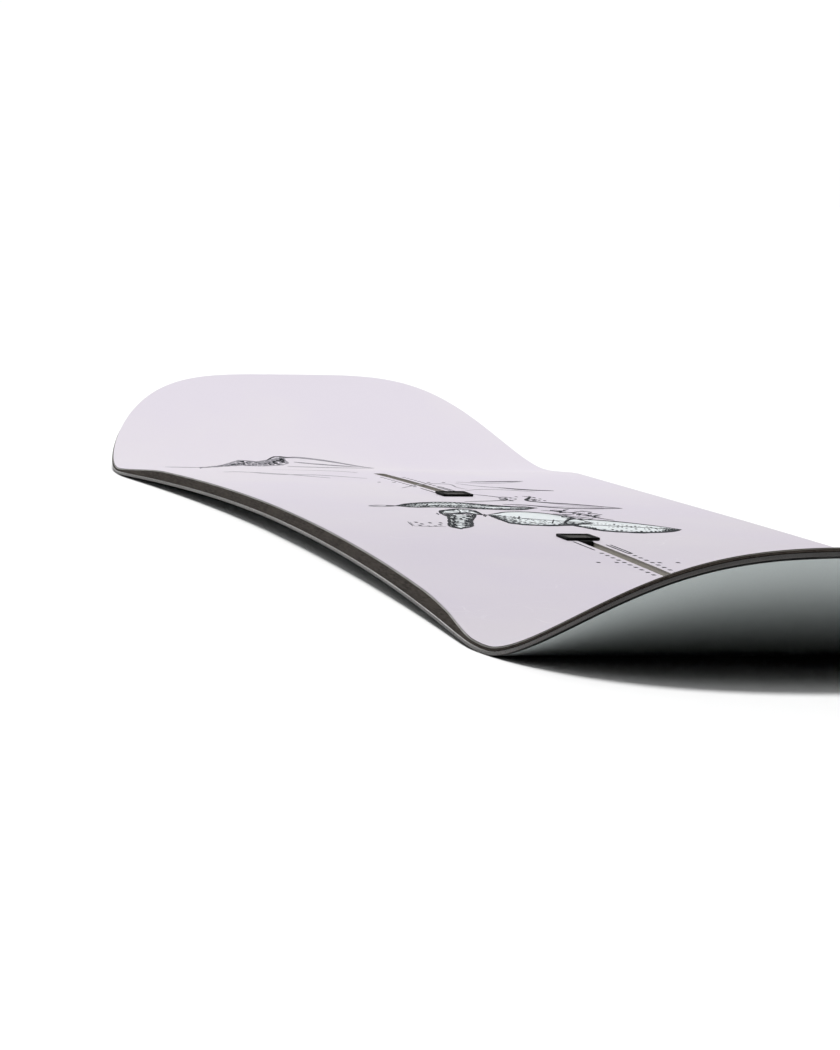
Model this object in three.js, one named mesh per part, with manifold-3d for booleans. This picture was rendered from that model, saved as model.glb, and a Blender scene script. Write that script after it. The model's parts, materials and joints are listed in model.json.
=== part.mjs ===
// A cambered snowboard with two binding channels and no bindings, built from the layers that are
// pressed together on a real board. Millimetres. +X runs from the tail to the nose, +Y to the
// left when looking at the nose, +Z up. The origin is on the ground below the middle of the length.

import * as THREE from 'three';
import { mergeVertices } from 'three/addons/utils/BufferGeometryUtils.js';
import Module from 'manifold-3d';

// ---- Plan view ----
const wideSpan = 1158; // between the two widest points
const waistWidth = 255.8;
const waistForward = 52; // the waist lies this far nose-ward of the widest points' middle
const shoulderPower = 40; // how late the sidecut eases into the widest points
// Each end: length past its widest point, width there, how full its outline is along and
// across (powers of a superellipse), how far its end stands above the ground, and how gently
// it starts to rise (a power).
const tail = { way: -1, length: 185, width: 290, along: 1.67, across: 3.76, rise: 56, curl: 1.59 };
const nose = { way: 1, length: 219, width: 300, along: 2.1, across: 4, rise: 56, curl: 1.88 };

// ---- Side view ----
const camber = 7.8;
const contactBeyondWidest = 24;
const contactLand = 10; // flat length of base on the ground at each contact line
const fullThickness = 7.7;
const endThickness = 4.1;
const fullThicknessReach = 430; // from the middle; from here to the contact lines it thins

// ---- Layers, from the snow up ----
const glueLine = 0.05; // between layers
const rimGap = 0.1; // between pieces side by side at the rim
const baseThickness = 1.3;
const edgeHeight = 2;
const edgeWidth = 2.2;
const flangeWidth = 5;
const flangeThickness = 0.4;
const foilThickness = 0.2;
const upperGlassThickness = 0.5;
const topsheetThickness = 0.4;

// ---- Rim and core ----
const sidewallWidth = 12;
const sidewallLean = 3.8; // how far the sidewall leans in from the edge to the deck
const endLean = 1; // the same round the two ends
const leanBlend = 80; // length over which one lean becomes the other
const coreStripCount = 9;
const stripGap = 0.1;
const spacerLength = 155; // the core and the sidewalls stop this far short of each end
const edgeJointGap = 0.3; // where the two steel edges meet at nose and tail

// ---- Binding channels ----
const channelInner = 153; // from the board's middle to a channel's inner end
const channelLength = 267;
const slotWidth = 7;
const grooveWidth = 13.5; // the wider groove below the slot that holds the square nuts
const grooveHeight = 2.1;
const trackFloor = 0.8;
const trackWall = 3.2; // beside the groove and past the channel's ends
const trackFit = 0.3; // round the track in the core
const entryLength = 20; // opening under the plug where nuts drop in
const entryWidth = 13.5;
const referencePoint = 305; // from the middle to the reference mark of each stance

// ---- Channel plugs ----
const plugFit = 0.3;
const plateLength = 29;
const plateWidth = 18;
const plateHeight = 1.4;
const plateCorner = 1.6;
const plateRim = 2.2; // width of the raised rim
const trayDepth = 0.8;
const stemClearance = 0.8; // between the stem's foot and the track's floor
const tongueLength = 10;
const tongueRise = 0.2; // above the foot of the plate
const tongueDepth = 2; // below the deck
const plugLift = 0.2; // gap between plate and deck

// ---- Facets ----
const camberFacet = 60;
const curlFacets = 11;
const endOutlineSteps = 12; // a quarter of an end's outline
const sidecutSteps = 7; // waist to widest point
const reach = 1000; // half size of the blocks that cut the layers, past every edge

const wasm = await Module();
wasm.setup();

// A closed three.js geometry as a manifold solid.
function solid(geometry) {
  const bare = new THREE.BufferGeometry();
  bare.setAttribute('position', geometry.getAttribute('position'));
  if (geometry.index) bare.setIndex(geometry.index);
  const merged = mergeVertices(bare, 1e-4);
  return new wasm.Manifold(
    new wasm.Mesh({
      numProp: 3,
      vertProperties: merged.attributes.position.array,
      triVerts: new Uint32Array(merged.index.array),
    }),
  );
}

// A manifold solid as a three.js geometry.
function geometryOf(made) {
  const { vertProperties, triVerts } = made.getMesh();
  const geometry = new THREE.BufferGeometry();
  geometry.setAttribute('position', new THREE.BufferAttribute(vertProperties, 3));
  geometry.setIndex(new THREE.BufferAttribute(triVerts, 1));
  geometry.computeVertexNormals();
  return geometry;
}

// ---- The board's shape ----
const halfLength = (tail.length + wideSpan + nose.length) / 2;
const widestAt = (end) => halfLength - end.length; // distance from the middle
const contactAt = (end) => widestAt(end) + contactBeyondWidest;
const waistX = (widestAt(nose) - widestAt(tail)) / 2 + waistForward;
const endOf = (x) => (x < 0 ? tail : nose);

// Height of the base above the ground, as a smooth curve.
function baseCurve(x) {
  const end = endOf(x);
  const past = Math.abs(x) - contactAt(end) - contactLand / 2;
  if (past >= 0) {
    const run = halfLength - contactAt(end) - contactLand / 2;
    return end.rise * (past / run) ** end.curl;
  }
  if (past > -contactLand) return 0;
  const from = -contactAt(tail) + contactLand / 2;
  const span = contactAt(nose) - contactLand / 2 - from;
  const share = (x - from) / span;
  return camber * 4 * share * (1 - share);
}

function thicknessCurve(x) {
  const run = contactAt(endOf(x)) - fullThicknessReach;
  const share = (Math.abs(x) - fullThicknessReach) / run;
  const eased = THREE.MathUtils.smoothstep(share, 0, 1);
  return THREE.MathUtils.lerp(fullThickness, endThickness, eased);
}

// The lines across the board where its facets meet: one facet is centred on each reference point.
function facetLines() {
  const lines = [];
  for (const end of [tail, nose]) {
    const land = contactAt(end) - contactLand / 2;
    const first = ((referencePoint + camberFacet / 2) % camberFacet) || camberFacet;
    for (let d = first; d < land - camberFacet / 3; d += camberFacet) lines.push(end.way * d);
    const foot = land + contactLand;
    lines.push(end.way * land);
    for (let i = 0; i <= curlFacets; i++) {
      lines.push(end.way * THREE.MathUtils.lerp(foot, halfLength, i / curlFacets));
    }
  }
  return lines.sort((a, b) => a - b);
}
const lines = facetLines();

// A curve read along the facets, so that every layer bends at the same lines.
function alongFacets(curve, x) {
  let i = 1;
  while (i < lines.length - 1 && lines[i] < x) i++;
  const share = (x - lines[i - 1]) / (lines[i] - lines[i - 1]);
  return THREE.MathUtils.lerp(curve(lines[i - 1]), curve(lines[i]), share);
}

const fixedHeight = (height) => (x) => baseCurve(x) + height;
const belowDeck = (depth) => (x) => baseCurve(x) + thicknessCurve(x) - depth;
const deckAt = (x) => alongFacets(belowDeck(0), x);

// ---- Outline ----
// Points along the left rim from the tail's end to the nose's end.
function leftRim() {
  const rim = [];
  const addEnd = (end, steps) => {
    for (const step of steps) {
      const turn = (step / endOutlineSteps) * (Math.PI / 2);
      const x = widestAt(end) + end.length * Math.sin(turn) ** (2 / end.along);
      const y = (end.width / 2) * Math.cos(turn) ** (2 / end.across);
      rim.push(new THREE.Vector2(end.way * x, step === endOutlineSteps ? 0 : y));
    }
  };
  const addSide = (end, steps) => {
    const run = Math.abs(end.way * widestAt(end) - waistX);
    const eased = 2 / shoulderPower;
    for (const step of steps) {
      const share = Math.sin((step / sidecutSteps) * (Math.PI / 2));
      const flare = (share ** 2 - eased * share ** shoulderPower) / (1 - eased);
      const y = THREE.MathUtils.lerp(waistWidth, end.width, flare) / 2;
      rim.push(new THREE.Vector2(waistX + end.way * run * share, y));
    }
  };
  const count = (from, to) => {
    const way = Math.sign(to - from);
    return Array.from({ length: Math.abs(to - from) + 1 }, (_, i) => from + way * i);
  };
  addEnd(tail, count(endOutlineSteps, 0));
  addSide(tail, count(sidecutSteps - 1, 1));
  addSide(nose, count(0, sidecutSteps - 1));
  addEnd(nose, count(0, endOutlineSteps));
  return rim;
}
const rim = leftRim();

// The rim moved in by an inset, which may differ from point to point.
function insetRim(inset) {
  return rim.map((point, i) => {
    const before = rim[Math.max(i - 1, 0)];
    const after = rim[Math.min(i + 1, rim.length - 1)];
    const along = after.clone().sub(before).normalize();
    if (i === 0) along.set(0, 1);
    if (i === rim.length - 1) along.set(0, -1);
    const moved = new THREE.Vector2(along.y, -along.x).multiplyScalar(inset(point.x));
    return moved.add(point);
  });
}

// A layer's blank: everything between two heights, bent along the facets.
function slab(low, high) {
  const profile = lines.map((x) => new THREE.Vector2(x, low(x)));
  lines.slice().reverse().forEach((x) => profile.push(new THREE.Vector2(x, high(x))));
  const options = { depth: 2 * reach, bevelEnabled: false };
  const blank = new THREE.ExtrudeGeometry(new THREE.Shape(profile), options);
  return solid(blank.rotateX(Math.PI / 2).translate(0, reach, 0));
}

// An upright block with the outline of the board moved in by an inset.
function outlineBlock(inset) {
  const left = insetRim(() => inset);
  const right = left.slice(1, -1).reverse().map((p) => new THREE.Vector2(p.x, -p.y));
  return upright(new THREE.Shape(left.concat(right)));
}

function upright(shape) {
  const options = { depth: 2 * reach, bevelEnabled: false, curveSegments: 4 };
  return solid(new THREE.ExtrudeGeometry(shape, options).translate(0, 0, -reach));
}

// An upright block between two places along X and two along Y, wherever it is cut.
function block(x0, x1, y0, y1) {
  const box = new THREE.BoxGeometry(x1 - x0, y1 - y0, 2 * reach);
  return solid(box.translate((x0 + x1) / 2, (y0 + y1) / 2, 0));
}

// The outside of the board: upright at the steel edge, leaning in from there to the deck.
function envelope() {
  const leanAt = (x) => {
    const inside = (widestAt(endOf(x)) - Math.abs(x)) / leanBlend;
    const share = THREE.MathUtils.clamp(inside, 0, 1);
    return THREE.MathUtils.lerp(endLean, sidewallLean, share);
  };
  const spare = 5; // above and below the layers
  const levels = [
    { height: () => -spare, inset: () => 0 },
    { height: () => edgeHeight, inset: () => 0 },
    { height: thicknessCurve, inset: leanAt },
    { height: (x) => thicknessCurve(x) + spare, inset: leanAt },
  ];
  const positions = [];
  levels.forEach(({ height, inset }) => {
    const left = insetRim(inset);
    const right = left.slice(1, -1).reverse().map((p) => new THREE.Vector2(p.x, -p.y));
    left.concat(right).forEach((p) => {
      const z = alongFacets((x) => baseCurve(x) + height(x), p.x);
      positions.push(p.x, p.y, z);
    });
  });
  const around = 2 * rim.length - 2;
  const triangles = [];
  const quad = (a, b, c, d) => triangles.push(a, b, c, a, c, d);
  for (let level = 0; level < levels.length - 1; level++) {
    for (let i = 0; i < around; i++) {
      const next = (i + 1) % around;
      const low = level * around;
      const high = low + around;
      quad(low + next, low + i, high + i, high + next);
    }
  }
  const top = (levels.length - 1) * around;
  for (let i = 0; i < rim.length - 1; i++) {
    const mirror = (k) => (around - k) % around;
    const corners = [i, i + 1, mirror(i + 1), mirror(i)];
    for (const [a, b, c] of [[0, 1, 2], [0, 2, 3]]) {
      const [p, q, r] = [corners[a], corners[b], corners[c]];
      if (p === q || q === r || r === p) continue;
      triangles.push(p, q, r);
      triangles.push(top + p, top + r, top + q);
    }
  }
  const geometry = new THREE.BufferGeometry();
  geometry.setAttribute('position', new THREE.Float32BufferAttribute(positions, 3));
  geometry.setIndex(triangles);
  return solid(geometry);
}

const outside = envelope();
const leftHalf = block(-reach, reach, edgeJointGap / 2, reach);
const rightHalf = block(-reach, reach, -reach, -edgeJointGap / 2);

// Heights of the layers' faces above the base's underside.
const foilTop = edgeHeight;
const foilBottom = foilTop - foilThickness;
const flangeTop = foilBottom - glueLine;
const flangeBottom = flangeTop - flangeThickness;
const lowerGlassBottom = baseThickness + glueLine;
const coreBottom = edgeHeight + glueLine;
// Depths of the layers' faces below the deck.
const upperGlassTop = topsheetThickness + glueLine;
const upperGlassBottom = upperGlassTop + upperGlassThickness;
const coreTop = upperGlassBottom + glueLine;
const flangeInner = edgeWidth + flangeWidth;

// ---- Channels, made at the nose and turned round for the tail ----
const channelOuter = channelInner + channelLength;

function roundedRectangle(x0, x1, halfWidth, radius) {
  const shape = new THREE.Shape();
  shape.moveTo(x0 + radius, -halfWidth);
  shape.lineTo(x1 - radius, -halfWidth);
  shape.absarc(x1 - radius, radius - halfWidth, radius, -Math.PI / 2, 0);
  shape.lineTo(x1, halfWidth - radius);
  shape.absarc(x1 - radius, halfWidth - radius, radius, 0, Math.PI / 2);
  shape.lineTo(x0 + radius, halfWidth);
  shape.absarc(x0 + radius, halfWidth - radius, radius, Math.PI / 2, Math.PI);
  shape.lineTo(x0, radius - halfWidth);
  shape.absarc(x0 + radius, radius - halfWidth, radius, Math.PI, 1.5 * Math.PI);
  return shape;
}

const at = (end, made) => (end === nose ? made : made.rotate([0, 0, 180]));
const entryCorner = 1.5;
const slotRound = slotWidth / 2 - 0.01; // just short of half, so that two arcs never meet
const slotCut = upright(roundedRectangle(channelInner, channelOuter, slotWidth / 2, slotRound));
const entryStart = channelInner + (plateLength - entryLength) / 2;
const entryEnd = entryStart + entryLength;
const entryCut = upright(roundedRectangle(entryStart, entryEnd, entryWidth / 2, entryCorner));
const mouthStart = block(channelInner - 1, entryStart + entryCorner, -reach, reach);
const mouth = slotCut.subtract(mouthStart).add(entryCut);
const grooveCut = upright(roundedRectangle(entryStart, channelOuter, grooveWidth / 2, entryCorner));
const trackHalf = grooveWidth / 2 + trackWall;
const trackStart = entryStart - trackWall;
const trackEnd = channelOuter + trackWall;
const trackCorner = 3;

function trackPocket() {
  const start = trackStart - trackFit;
  const finish = trackEnd + trackFit;
  return upright(roundedRectangle(start, finish, trackHalf + trackFit, trackCorner));
}

function channelTrack(end) {
  const bar = upright(roundedRectangle(trackStart, trackEnd, trackHalf, trackCorner));
  const floor = coreBottom + trackFloor;
  const aboveFloor = slab(fixedHeight(floor), belowDeck(-reach));
  const groove = slab(fixedHeight(floor), fixedHeight(floor + grooveHeight));
  return slab(fixedHeight(coreBottom), belowDeck(coreTop))
    .intersect(at(end, bar))
    .subtract(at(end, mouth).intersect(aboveFloor))
    .subtract(at(end, grooveCut).intersect(groove));
}

// A plug: a tray with a raised rim on the deck, a stem in the entry and a tongue in the slot.
function channelPlug(end) {
  const prism = (shape, low, high) => {
    const options = { depth: high - low, bevelEnabled: false, curveSegments: 3 };
    return solid(new THREE.ExtrudeGeometry(shape, options).translate(0, 0, low));
  };
  const start = channelInner;
  const finish = start + plateLength;
  const tray = plugLift + plateHeight - trayDepth;
  const plateTop = plugLift + plateHeight;
  const stemDepth = fullThickness - coreBottom - trackFloor - stemClearance;
  const plate = roundedRectangle(start, finish, plateWidth / 2, plateCorner);
  const inner = roundedRectangle(
    start + plateRim, finish - plateRim, plateWidth / 2 - plateRim, plateCorner / 2);
  const stem = roundedRectangle(
    entryStart + plugFit, entryEnd - plugFit, entryWidth / 2 - plugFit, entryCorner);
  const tongueHalf = slotWidth / 2 - plugFit;
  const tongue = roundedRectangle(finish - plateRim, finish + tongueLength, tongueHalf, 1);
  const made = prism(plate, plugLift, plateTop)
    .subtract(prism(inner, tray, plateTop + 1))
    .add(prism(stem, -stemDepth, tray))
    .add(prism(tongue, -tongueDepth, plugLift + tongueRise));
  const seat = end.way * (start + plateLength / 2);
  return { made: at(end, made), seat };
}

// ---- Core ----
const coreEnd = halfLength - spacerLength;
const coreBlank = slab(fixedHeight(coreBottom), belowDeck(coreTop));
const coreLevel = coreBlank.intersect(outside);
const betweenSpacers = block(-coreEnd, coreEnd, -reach, reach);
const coreWood = coreBlank
  .intersect(outlineBlock(sidewallWidth + rimGap))
  .intersect(betweenSpacers)
  .subtract(at(nose, trackPocket()))
  .subtract(at(tail, trackPocket()));
const stripPitch = (waistWidth - 2 * sidewallWidth) / coreStripCount;

function coreStrip(i) {
  const first = i === 0;
  const last = i === coreStripCount - 1;
  const low = (i - coreStripCount / 2) * stripPitch + stripGap / 2;
  const high = (i + 1 - coreStripCount / 2) * stripPitch - stripGap / 2;
  return coreWood.intersect(block(-reach, reach, first ? -reach : low, last ? reach : high));
}

function sidewall(half) {
  const ring = coreLevel.subtract(outlineBlock(sidewallWidth));
  return ring.intersect(betweenSpacers).intersect(half);
}

function endSpacer(end) {
  const start = coreEnd + rimGap;
  return coreLevel.intersect(at(end, block(start, reach, -reach, reach)));
}

// ---- Skins and rim ----
const mouths = at(nose, mouth).add(at(tail, mouth));

function topsheet() {
  return slab(belowDeck(topsheetThickness), belowDeck(0)).intersect(outside).subtract(mouths);
}

function upperGlass() {
  const layer = slab(belowDeck(upperGlassBottom), belowDeck(upperGlassTop));
  return layer.intersect(outside).subtract(mouths);
}

function lowerGlass() {
  const layer = slab(fixedHeight(lowerGlassBottom), fixedHeight(foilTop));
  return layer.intersect(outlineBlock(flangeInner + rimGap));
}

function baseSheet() {
  const layer = slab(fixedHeight(0), fixedHeight(baseThickness));
  return layer.intersect(outlineBlock(edgeWidth + rimGap));
}

function steelEdge(half) {
  const overlap = 0.2; // the flange starts this far inside the bar, to join it
  const bar = slab(fixedHeight(0), fixedHeight(edgeHeight))
    .intersect(outlineBlock(0))
    .subtract(outlineBlock(edgeWidth));
  const flange = slab(fixedHeight(flangeBottom), fixedHeight(flangeTop))
    .intersect(outlineBlock(edgeWidth - overlap))
    .subtract(outlineBlock(flangeInner));
  return bar.add(flange).intersect(half);
}

function rubberFoil(half) {
  return slab(fixedHeight(foilBottom), fixedHeight(foilTop))
    .intersect(outlineBlock(edgeWidth + rimGap))
    .subtract(outlineBlock(flangeInner))
    .intersect(half);
}

// ---- Colours and finishes ----
const finish = (color, roughness, metalness = 0) => ({ color, roughness, metalness });
const lilac = finish(0xd8d1da, 0.62);
const glass = finish(0xb9bfa8, 0.5);
const pale = finish(0xcdb48a, 0.7);
const dark = finish(0xa98458, 0.7);
const brownBlack = finish(0x443f3c, 0.55);
const steel = finish(0xa9abae, 0.3, 1);
const rubber = finish(0x151515, 0.75);
const glossGrey = finish(0xb4bdbe, 0.25);
const track = finish(0x7e7a70, 0.55);

const board = new THREE.Group();

function place(name, made, look) {
  const mesh = new THREE.Mesh(geometryOf(made), new THREE.MeshStandardMaterial(look));
  mesh.name = name;
  board.add(mesh);
  return mesh;
}

place('base_sheet', baseSheet(), glossGrey);
place('lower_fibreglass', lowerGlass(), glass);
for (const [side, half] of [['left', leftHalf], ['right', rightHalf]]) {
  place(`steel_edge_${side}`, steelEdge(half), steel);
  place(`edge_damping_foil_${side}`, rubberFoil(half), rubber);
  place(`sidewall_${side}`, sidewall(half), brownBlack);
}
for (let i = 0; i < coreStripCount; i++) {
  place(`core_strip_${i + 1}`, coreStrip(i), i % 2 ? dark : pale);
}
for (const [name, end] of [['nose', nose], ['tail', tail]]) {
  place(`end_spacer_${name}`, endSpacer(end), brownBlack);
  place(`channel_track_${name}`, channelTrack(end), track);
}
place('upper_fibreglass', upperGlass(), glass);
place('topsheet', topsheet(), lilac);
for (const [name, end] of [['nose', nose], ['tail', tail]]) {
  const { made, seat } = channelPlug(end);
  place(`channel_plug_${name}`, made, rubber).position.z = deckAt(seat);
}

export default board;
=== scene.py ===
import json
import math
import random

import bmesh
import bpy
import numpy as np
from mathutils import Matrix, Vector


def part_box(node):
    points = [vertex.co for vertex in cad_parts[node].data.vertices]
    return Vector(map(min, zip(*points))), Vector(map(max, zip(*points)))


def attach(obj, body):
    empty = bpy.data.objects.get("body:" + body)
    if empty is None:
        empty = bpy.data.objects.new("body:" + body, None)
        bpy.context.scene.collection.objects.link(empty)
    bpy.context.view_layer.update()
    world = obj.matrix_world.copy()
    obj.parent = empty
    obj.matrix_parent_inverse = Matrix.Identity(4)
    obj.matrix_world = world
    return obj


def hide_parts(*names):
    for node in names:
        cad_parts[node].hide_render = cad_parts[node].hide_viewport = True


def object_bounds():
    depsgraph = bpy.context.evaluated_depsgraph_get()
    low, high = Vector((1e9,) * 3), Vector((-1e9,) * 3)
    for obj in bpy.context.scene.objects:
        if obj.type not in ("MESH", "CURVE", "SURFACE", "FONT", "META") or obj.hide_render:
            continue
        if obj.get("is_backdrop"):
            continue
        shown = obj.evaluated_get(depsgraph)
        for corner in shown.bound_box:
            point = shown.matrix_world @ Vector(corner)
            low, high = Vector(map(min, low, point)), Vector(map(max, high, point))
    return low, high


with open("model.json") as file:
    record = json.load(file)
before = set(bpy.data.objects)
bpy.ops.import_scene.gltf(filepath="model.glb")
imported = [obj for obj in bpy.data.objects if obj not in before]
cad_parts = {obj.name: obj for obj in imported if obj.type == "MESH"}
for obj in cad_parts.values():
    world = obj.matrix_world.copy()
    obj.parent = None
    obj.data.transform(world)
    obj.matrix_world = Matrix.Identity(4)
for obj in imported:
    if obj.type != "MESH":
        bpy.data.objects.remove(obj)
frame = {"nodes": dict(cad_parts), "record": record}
cad_low, cad_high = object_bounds()
scene = bpy.context.scene

# ---- Camera ----
# A long lens low behind the tail, turned a little to the right, that takes in the whole board
# from its near left corner to the nose.
camera_data = bpy.data.cameras.new("camera")
camera_data.sensor_fit = "VERTICAL"
camera_data.sensor_height = 36
camera_data.sensor_width = 36
camera_data.lens = 165.36
camera_data.clip_end = 50
camera = bpy.data.objects.new("camera", camera_data)
camera_place = Vector((-2.6474, 0.5635, 0.2068))
camera_turn, camera_tilt, camera_roll = 0.19057, -0.07311, 0.01857
forward = Vector((
    math.cos(camera_tilt) * math.cos(camera_turn),
    -math.cos(camera_tilt) * math.sin(camera_turn),
    math.sin(camera_tilt),
))
level = Vector((-math.sin(camera_turn), -math.cos(camera_turn), 0))
upward = level.cross(forward)
right = level * math.cos(camera_roll) + upward * math.sin(camera_roll)
upward = right.cross(forward)
facing = Matrix((right, upward, -forward)).transposed().to_4x4()
camera.matrix_world = Matrix.Translation(camera_place) @ facing
scene.collection.objects.link(camera)
scene.camera = camera

# ---- Base sheet ----
# The sintered polyethylene running surface: one sheet bent up at nose and tail, ground with
# fine lines along the board and waxed to a satin gloss. The steel edges frame it.
contact = {mount["name"]: mount["pos_m"][0] for mount in frame["record"]["mounts"]}
tail_end, nose_end = cad_low.x, cad_high.x
tail_contact, nose_contact = contact["ground_contact_tail"], contact["ground_contact_nose"]
contact_beyond_widest = 0.024
tail_wide = tail_contact + contact_beyond_widest
nose_wide = nose_contact - contact_beyond_widest
waist_x = 0.035
waist_half, tail_half, nose_half = 0.1279, 0.145, cad_high.y
shoulder_power = 40
tail_power, nose_power = (1.67, 3.76), (2.1, 4)
camber, contact_land, edge_height = 0.0078, 0.01, 0.002
end_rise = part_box("steel_edge_left")[1].z - edge_height
tail_curl, nose_curl = 1.59, 1.88
full_thickness, end_thickness, full_thickness_reach = 0.0077, 0.0041, 0.43
edge_width, rim_gap, glue_line = 0.0022, 0.0001, 0.00005
base_thickness = 0.0013


def base_height(x):
    x = np.asarray(x, float)
    start, finish = tail_contact + contact_land / 2, nose_contact - contact_land / 2
    share = np.clip((x - start) / (finish - start), 0, 1)
    tail_foot, nose_foot = tail_contact - contact_land / 2, nose_contact + contact_land / 2
    tail_share = np.clip((tail_foot - x) / (tail_foot - tail_end), 0, 1)
    nose_share = np.clip((x - nose_foot) / (nose_end - nose_foot), 0, 1)
    curl = tail_share ** tail_curl + nose_share ** nose_curl
    return camber * 4 * share * (1 - share) + end_rise * curl


def thickness(x):
    x = np.asarray(x, float)
    contact_x = np.where(x < 0, -tail_contact, nose_contact)
    share = np.clip((np.abs(x) - full_thickness_reach) / (contact_x - full_thickness_reach), 0, 1)
    return full_thickness + (end_thickness - full_thickness) * share * share * (3 - 2 * share)


def above_base(height):
    return lambda x: base_height(x) + height


def below_deck(depth):
    return lambda x: base_height(x) + thickness(x) - depth


def evenly(points, count):
    run = np.concatenate([[0], np.cumsum(np.hypot(*np.diff(points, axis=0).T))])
    at = np.linspace(0, run[-1], count)
    return np.stack([np.interp(at, run, points[:, k]) for k in (0, 1)], axis=1)


fine_steps = 4000


def end_outline(wide, end, half, powers, count):
    """A quarter of the outline, round the nose or tail: a curve fuller than an ellipse."""
    turn = np.linspace(0, math.pi / 2, fine_steps)
    x = wide + (end - wide) * np.sin(turn) ** (2 / powers[0])
    y = half * np.cos(turn) ** (2 / powers[1])
    y[-1] = 0
    return evenly(np.stack([x, y], axis=1), count)


def side_outline(wide, half, count):
    """The side from the waist to the widest point, easing over just before the shoulder."""
    share = np.linspace(0, 1, count)
    eased = 2 / shoulder_power
    flare = (share ** 2 - eased * share ** shoulder_power) / (1 - eased)
    x = waist_x + (wide - waist_x) * share
    return np.stack([x, waist_half + (half - waist_half) * flare], axis=1)


end_count, side_count = 90, 80
left_rim = np.concatenate([
    end_outline(tail_wide, tail_end, tail_half, tail_power, end_count)[::-1],
    side_outline(tail_wide, tail_half, side_count)[::-1][1:],
    side_outline(nose_wide, nose_half, side_count)[1:],
    end_outline(nose_wide, nose_end, nose_half, nose_power, end_count)[1:],
])
rim_along = np.gradient(left_rim, axis=0)
rim_along[0], rim_along[-1] = (0, 1), (0, -1)
rim_along /= np.linalg.norm(rim_along, axis=1)[:, None]
rim_inward = np.stack([rim_along[:, 1], -rim_along[:, 0]], axis=1)


def inset_rim(inset):
    distance = inset(left_rim[:, 0]) if callable(inset) else np.full(len(left_rim), inset)
    return left_rim + rim_inward * distance[:, None]


def make_object(name, vertices, faces):
    mesh = bpy.data.meshes.new(name)
    mesh.from_pydata([tuple(v) for v in vertices], [], faces)
    made = bpy.data.objects.new(name, mesh)
    scene.collection.objects.link(made)
    return made


crease_angle = math.radians(28)


def tidy_mesh(piece, smooth_angle=crease_angle):
    """Joins doubled points, turns every face outward, and keeps edges above the angle sharp."""
    shape = bmesh.new()
    shape.from_mesh(piece.data)
    bmesh.ops.remove_doubles(shape, verts=shape.verts, dist=1e-6)
    bmesh.ops.recalc_face_normals(shape, faces=shape.faces)
    shape.to_mesh(piece.data)
    shape.free()
    piece.data.polygons.foreach_set("use_smooth", [True] * len(piece.data.polygons))
    piece.data.set_sharp_from_angle(angle=smooth_angle)
    return piece


def layer(name, levels, columns=24):
    """A closed layer of the board: rings of the outline from its lower face up, filled across."""
    count = len(left_rim)
    around = 2 * count - 2
    vertices, faces = [], []
    for inset, height in levels:
        left = inset_rim(inset)
        ring = np.concatenate([left, left[1:-1][::-1] * (1, -1)])
        vertices += [(x, y, z) for (x, y), z in zip(ring, height(ring[:, 0]))]
    for k in range(len(levels) - 1):
        low, high = k * around, (k + 1) * around
        for i in range(around):
            j = (i + 1) % around
            faces.append((low + j, low + i, high + i, high + j))
    for k in (0, len(levels) - 1):
        start, height = k * around, levels[k][1]
        rows = [[start] * (columns + 1)]
        for i in range(1, count - 1):
            a, b = vertices[start + i], vertices[start + around - i]
            row = [start + i]
            for c in range(1, columns):
                share = c / columns
                x = a[0]
                y = a[1] + (b[1] - a[1]) * share
                row.append(len(vertices))
                vertices.append((x, y, float(height(x))))
            rows.append(row + [start + around - i])
        rows.append([start + count - 1] * (columns + 1))
        for before, after in zip(rows, rows[1:]):
            for c in range(columns):
                corners = [before[c], before[c + 1], after[c + 1], after[c]]
                if k:
                    corners.reverse()
                faces.append(tuple(dict.fromkeys(corners)))
    return tidy_mesh(make_object(name, vertices, faces))


def nodes_of(material):
    material.use_nodes = True
    tree = material.node_tree
    tree.nodes.clear()
    output = tree.nodes.new("ShaderNodeOutputMaterial")
    shader = tree.nodes.new("ShaderNodeBsdfPrincipled")
    tree.links.new(shader.outputs["BSDF"], output.inputs["Surface"])
    return tree, shader


def add_node(tree, kind, inputs=None, **settings):
    node = tree.nodes.new(kind)
    for key, value in settings.items():
        setattr(node, key, value)
    for key, value in (inputs or {}).items():
        if isinstance(value, bpy.types.NodeSocket):
            tree.links.new(value, node.inputs[key])
        else:
            node.inputs[key].default_value = value
    return node


def ramp(tree, factor, *stops):
    """A grey that changes evenly from the first stop to the second."""
    node = add_node(tree, "ShaderNodeValToRGB", {"Fac": factor})
    for element, (place, grey) in zip(node.color_ramp.elements, stops):
        element.position = place
        element.color = (grey, grey, grey, 1)
    return node.outputs["Color"]


def mixed(tree, factor, first, second, blend="MIX"):
    node = add_node(tree, "ShaderNodeMix", data_type="RGBA", blend_type=blend)
    for socket, value in ((node.inputs[0], factor), (node.inputs[6], first), (node.inputs[7], second)):
        if isinstance(value, bpy.types.NodeSocket):
            tree.links.new(value, socket)
        else:
            socket.default_value = (*value, 1) if isinstance(value, tuple) else value
    return node.outputs[2]


def effect(name, inputs, outputs):
    """A named group of nodes with its own inputs, to be used by several finishes."""
    group = bpy.data.node_groups.new(name, "ShaderNodeTree")
    for socket, (kind, value) in inputs.items():
        made = group.interface.new_socket(name=socket, in_out="INPUT", socket_type=kind)
        made.default_value = value
    for socket, kind in outputs.items():
        group.interface.new_socket(name=socket, in_out="OUTPUT", socket_type=kind)
    return group, group.nodes.new("NodeGroupInput").outputs, group.nodes.new("NodeGroupOutput").inputs


def use_effect(tree, group, **values):
    return add_node(tree, "ShaderNodeGroup", values, node_tree=group)


def maths(tree, operation, *values):
    return add_node(tree, "ShaderNodeMath", dict(enumerate(values)), operation=operation).outputs[0]


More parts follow.
